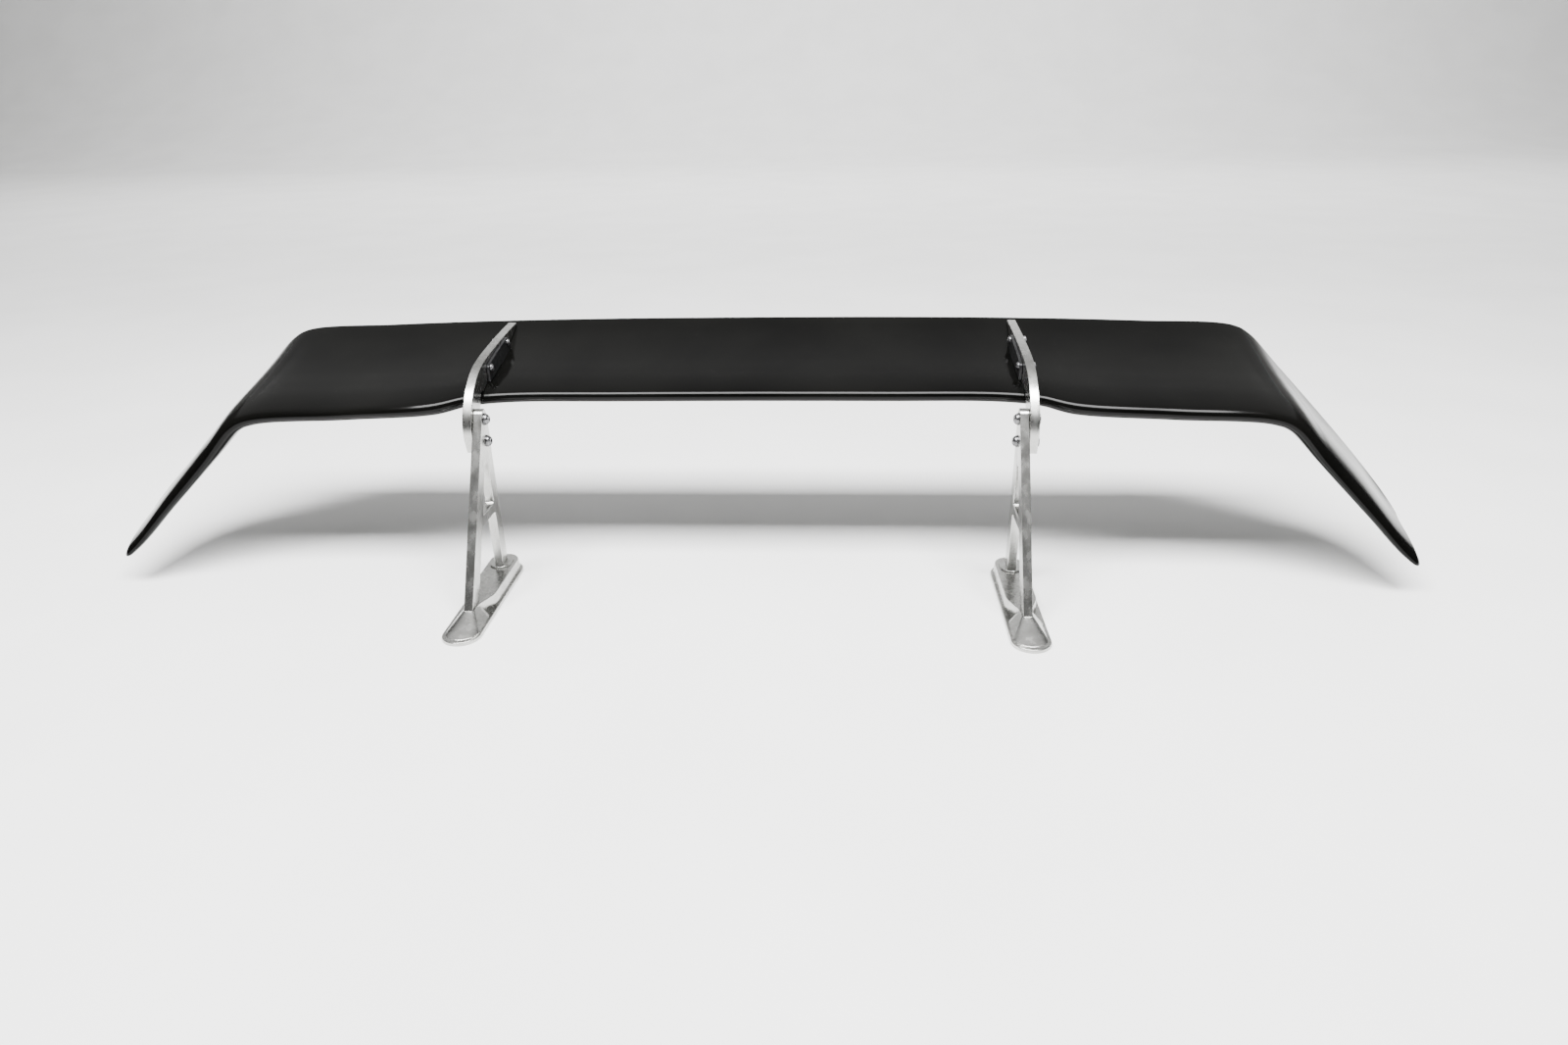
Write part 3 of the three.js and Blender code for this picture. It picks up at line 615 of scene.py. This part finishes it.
# ---- Necks and brackets ----
def slot_outline():
    """The curved slot round the pivot that the lower lap bolt slides in."""
    away = Vector(LOWER_BOLT) - Vector(PIVOT)
    angle = math.atan2(away.y, away.x)
    points = []
    for radius, sign in ((away.length + LAP_HOLE, 1), (away.length - LAP_HOLE, -1)):
        sweep = [angle + sign * SLOT_HALF_ANGLE * (k / 4 - 1) for k in range(9)]
        points += [Vector(PIVOT) + radius * Vector((math.cos(a), math.sin(a))) for a in sweep]
        end = angle + sign * SLOT_HALF_ANGLE
        centre = Vector(PIVOT) + away.length * Vector((math.cos(end), math.sin(end)))
        turn = end if sign > 0 else end + math.pi
        points += [centre + LAP_HOLE * Vector((math.cos(turn + math.pi * k / 12),
                                               math.sin(turn + math.pi * k / 12)))
                   for k in range(1, 12)]
    return points


def neck(side_name, side):
    lines = [upper_line(x) for x in (NECK_X, NECK_X + PLATE)]
    points = smooth(NECK_TOP, 8)
    for k in range(44):
        y = 415 - 4 * k
        height = max(along_line(line, 1, y).z for line in lines)
        points.append(Vector((y, height + NECK_CLEARANCE)))
    points += smooth([*NECK_UNDER_NOSE, (points[-1].x, points[-1].y)], 6)[-2::-1]
    holes = [circle(PIVOT, LAP_HOLE), slot_outline()]
    holes += [circle(bolt, NECK_HOLE, 28) for bolt in NECK_BOLTS.values()]
    piece(f"neck_{side_name}_fine", *plate_x([points, *holes], NECK_X, PLATE, 0.9),
          ALUMINIUM, "wing", (f"neck_{side_name}",), "machined_aluminium", side)


def wing_bracket(side_name, side):
    """A plate beside the neck whose root goes down through the skin."""
    line = upper_line(TAB_X)
    foot = []
    for k in range(27):
        y = TAB_FRONT + (TAB_REAR - TAB_FRONT) * k / 26
        rooted = ROOT["front"] <= y <= ROOT["rear"]
        lift = -ROOT["depth"] if rooted else NECK_CLEARANCE
        foot.append((y, along_line(line, 1, y).z + lift))
    top = [(364, 304, 3), (352, 306.6, 5), (310, 299.3, 20), (274, 291.8, 8), (263, 288, 5)]
    outside = rounded([*foot, *top])
    holes = [circle(bolt, NECK_HOLE, 28) for bolt in NECK_BOLTS.values()]
    piece(f"wing_bracket_{side_name}_fine", *plate_x([outside, *holes], TAB_X, TAB, 0.5, 3),
          ANODISED, "wing", (f"wing_bracket_{side_name}",), "black_anodised", side)


# ---- Fasteners ----
def button_screw(name, body, shank, head, height, seat, end, centre, side):
    """A button-head screw with a hexagon socket, its dome towards the middle of the wing."""
    socket = shank * 0.6
    dome = [(head * math.sin(a), -height * math.cos(a) ** 0.8, False)
            for a in (math.radians(38 + 52 * k / 8) for k in range(9))]
    profile = [(socket * 0.98, -height * 0.35, True), (socket, -height * 0.4, True),
               (socket, -height * 0.97, True), (socket * 1.12, -height, False)]
    profile += [(dome[0][0], -height, False), *dome[1:], (head, 0.0, False), (shank, 0.0, False)]
    pitch = shank * 0.3
    for k in range(8):
        depth = 0.18 * shank if k % 2 else 0.0
        profile.append((shank - depth, end - seat - 8 * pitch + k * pitch, False))
    profile.append((shank * 0.8, end - seat, False))
    solid = lathe_x(profile, seat, *centre)
    piece(f"{name}_fine", *solid, STEEL, body, (name,), "fastener_steel", side)


def turned_ring(name, body, inner, outer, x0, thickness, centre, side, is_hex=False):
    """A washer, or a hexagon nut with chamfered corners."""
    lip = min(0.35, thickness / 4)
    kind = "chamfer" if is_hex else False
    profile = [(inner, lip, False), (inner + lip, 0, False), (outer * 0.96, 0, False)]
    profile += [(outer, lip, kind), (outer, thickness - lip, kind)]
    profile += [(outer * 0.96, thickness, False), (inner + lip, thickness, False)]
    profile += [(inner, thickness - lip, False)]
    solid = lathe_x(profile, x0, *centre, closed=True)
    piece(f"{name}_fine", *solid, STEEL, body, (name,), "fastener_steel", side)


def lap_fasteners(side_name, side):
    washer_x = UPRIGHT_X - GAP - LAP_WASHER
    nut_x = NECK_X + PLATE + GAP
    for place_name, centre in (("upper", PIVOT), ("lower", LOWER_BOLT)):
        button_screw(f"lap_bolt_{place_name}_{side_name}", "stands", 4, 7, 4.4, washer_x,
                     nut_x + THIN_NUT, centre, side)
        turned_ring(f"lap_washer_{place_name}_{side_name}", "stands", 4.1, 8, washer_x + 0.1,
                    LAP_WASHER, centre, side)
        turned_ring(f"lap_nut_{place_name}_{side_name}", "stands", 4.05, 6.5, nut_x, THIN_NUT,
                    centre, side, True)


def neck_fasteners(side_name, side):
    nut_x = NECK_X + PLATE + GAP
    for place_name, centre in NECK_BOLTS.items():
        button_screw(f"neck_bolt_{place_name}_{side_name}", "wing", 3, 5.25, 3.3, TAB_X,
                     nut_x + 6, centre, side)
        turned_ring(f"neck_nut_{place_name}_{side_name}", "wing", 3.05, 5, nut_x, 5, centre, side,
                    True)


def foot_screws(side_name, side):
    """Socket-head screws from under the foot, up into the upright's legs."""
    for place_name, (y, seat) in FOOT_SCREWS.items():
        under, head_top, end = 0.7, FOOT_BORE["depth"] - GAP, seat + 17
        profile = [(2.4, under + 3, True), (2.5, under + 2.9, True), (2.5, under + 0.1, True),
                   (2.9, under, False), (4.6, under, False), (5, under + 0.4, False),
                   (5, head_top, False), (3, head_top, False), (3, end - 0.6, False),
                   (2.4, end, False)]
        verts, faces = lathe_x(profile, 0, 0, 0, 36)
        upright_verts = [(PLATE_MIDDLE + v[2], y + v[1], v[0]) for v in verts]
        name = f"foot_screw_{place_name}_{side_name}"
        piece(f"{name}_fine", upright_verts, faces, STEEL, "stands", (name,), "fastener_steel", side)


# ---- Assembly ----
wing_shell()
for side_name, side in SIDES.items():
    foot(side_name, side)
    upright(side_name, side)
    foot_screws(side_name, side)
    lap_fasteners(side_name, side)
    neck(side_name, side)
    wing_bracket(side_name, side)
    neck_fasteners(side_name, side)

CAD_LOOKS = {"main_spar": FOAM, "rib_": FOAM, "winglet_core": FOAM, "mount_insert": ALUMINIUM}
for obj in bpy.data.objects:
    for prefix, looks in CAD_LOOKS.items():
        if obj.type == "MESH" and obj.name.startswith(prefix) and not obj.name.endswith("_fine"):
            if not obj.material_slots:
                obj.data.materials.append(looks)
            for slot in obj.material_slots:
                slot.material = looks


# ---- Camera, floor and light ----
def camera():
    """At the front, raised, a little to the right of the middle and looking down."""
    yaw, pitch, roll = (math.radians(a) for a in (-3.3725, 24.5545, 1.0984))
    forward = Vector((math.sin(yaw) * math.cos(pitch), math.cos(yaw) * math.cos(pitch),
                      -math.sin(pitch)))
    level = Vector((math.cos(yaw), -math.sin(yaw), 0))
    down = forward.cross(level)
    right = level * math.cos(roll) + down * math.sin(roll)
    up = level * math.sin(roll) - down * math.cos(roll)
    data = bpy.data.cameras.new("camera")
    data.sensor_width = 36
    data.lens = 22.5
    obj = bpy.data.objects.new("camera", data)
    turn = Matrix((right, up, -forward)).transposed().to_4x4()
    obj.matrix_world = Matrix.Translation(place((117.88, -1033.11, 647.05))) @ turn
    bpy.context.scene.collection.objects.link(obj)
    bpy.context.scene.camera = obj


def floor():
    """A pale floor that sweeps up into a backdrop far behind."""
    reach, bend, radius = 14, 7, 3
    profile = [(-reach, 0.0), (bend, 0.0)]
    profile += [(bend + radius * math.sin(a), radius * (1 - math.cos(a)))
                for a in (math.pi / 2 * k / 12 for k in range(1, 13))]
    profile.append((bend + radius, 6))
    verts = [(x, y, z) for y, z in profile for x in (-reach, reach)]
    faces = [(2 * k, 2 * k + 1, 2 * k + 3, 2 * k + 2) for k in range(len(profile) - 1)]
    mesh = bpy.data.meshes.new("floor")
    mesh.from_pydata(verts, [], faces)
    mesh.shade_smooth()
    obj = bpy.data.objects.new("floor", mesh)
    mat, shader = new_material("pale_floor")
    pale = ramp(mat, noise(mat, 3, detail=3), (0.84, 0.84, 0.835), (0.88, 0.88, 0.875))
    mat.node_tree.links.new(pale, shader.inputs["Base Color"])
    shader.inputs["Roughness"].default_value = 0.8
    shader.inputs["Specular IOR Level"].default_value = 0.1
    mesh.materials.append(mat)
    bpy.context.scene.collection.objects.link(obj)


def area_light(name, position, target, size, power):
    data = bpy.data.lights.new(name, "AREA")
    data.shape = "RECTANGLE"
    data.size, data.size_y = size
    data.energy = power
    obj = bpy.data.objects.new(name, data)
    obj.location = position
    obj.rotation_euler = (Vector(target) - Vector(position)).to_track_quat("-Z", "Y").to_euler()
    bpy.context.scene.collection.objects.link(obj)


def world():
    """A soft room: pale overhead, darker towards the horizon."""
    scene_world = bpy.data.worlds.new("studio")
    bpy.context.scene.world = scene_world
    scene_world.use_nodes = True
    nodes, links = scene_world.node_tree.nodes, scene_world.node_tree.links
    coordinates = nodes.new("ShaderNodeTexCoord")
    split = nodes.new("ShaderNodeSeparateXYZ")
    blend = nodes.new("ShaderNodeValToRGB")
    levels = ((0.0, 0.04), (0.3, 0.08), (0.62, 0.2), (0.9, 0.5))
    while len(blend.color_ramp.elements) < len(levels):
        blend.color_ramp.elements.new(0.5)
    for element, (position, value) in zip(blend.color_ramp.elements, levels):
        element.position = position
        element.color = (value, value, value * 0.98, 1)
    background = nodes["Background"]
    background.inputs["Strength"].default_value = 0.8
    links.new(coordinates.outputs["Generated"], split.inputs["Vector"])
    links.new(split.outputs["Z"], blend.inputs["Fac"])
    links.new(blend.outputs["Color"], background.inputs["Color"])


camera()
floor()
world()
area_light("overhead", (0, 2.3, 3.6), (0, 1.0, 0), (11, 5.5), 85)
area_light("key", (0, -0.9, 3.0), (0, 0, 0.2), (3.6, 1.1), 540)
area_light("backdrop_light", (0, 4.4, 4.5), (0, 8.5, 0.5), (9, 1.5), 750)
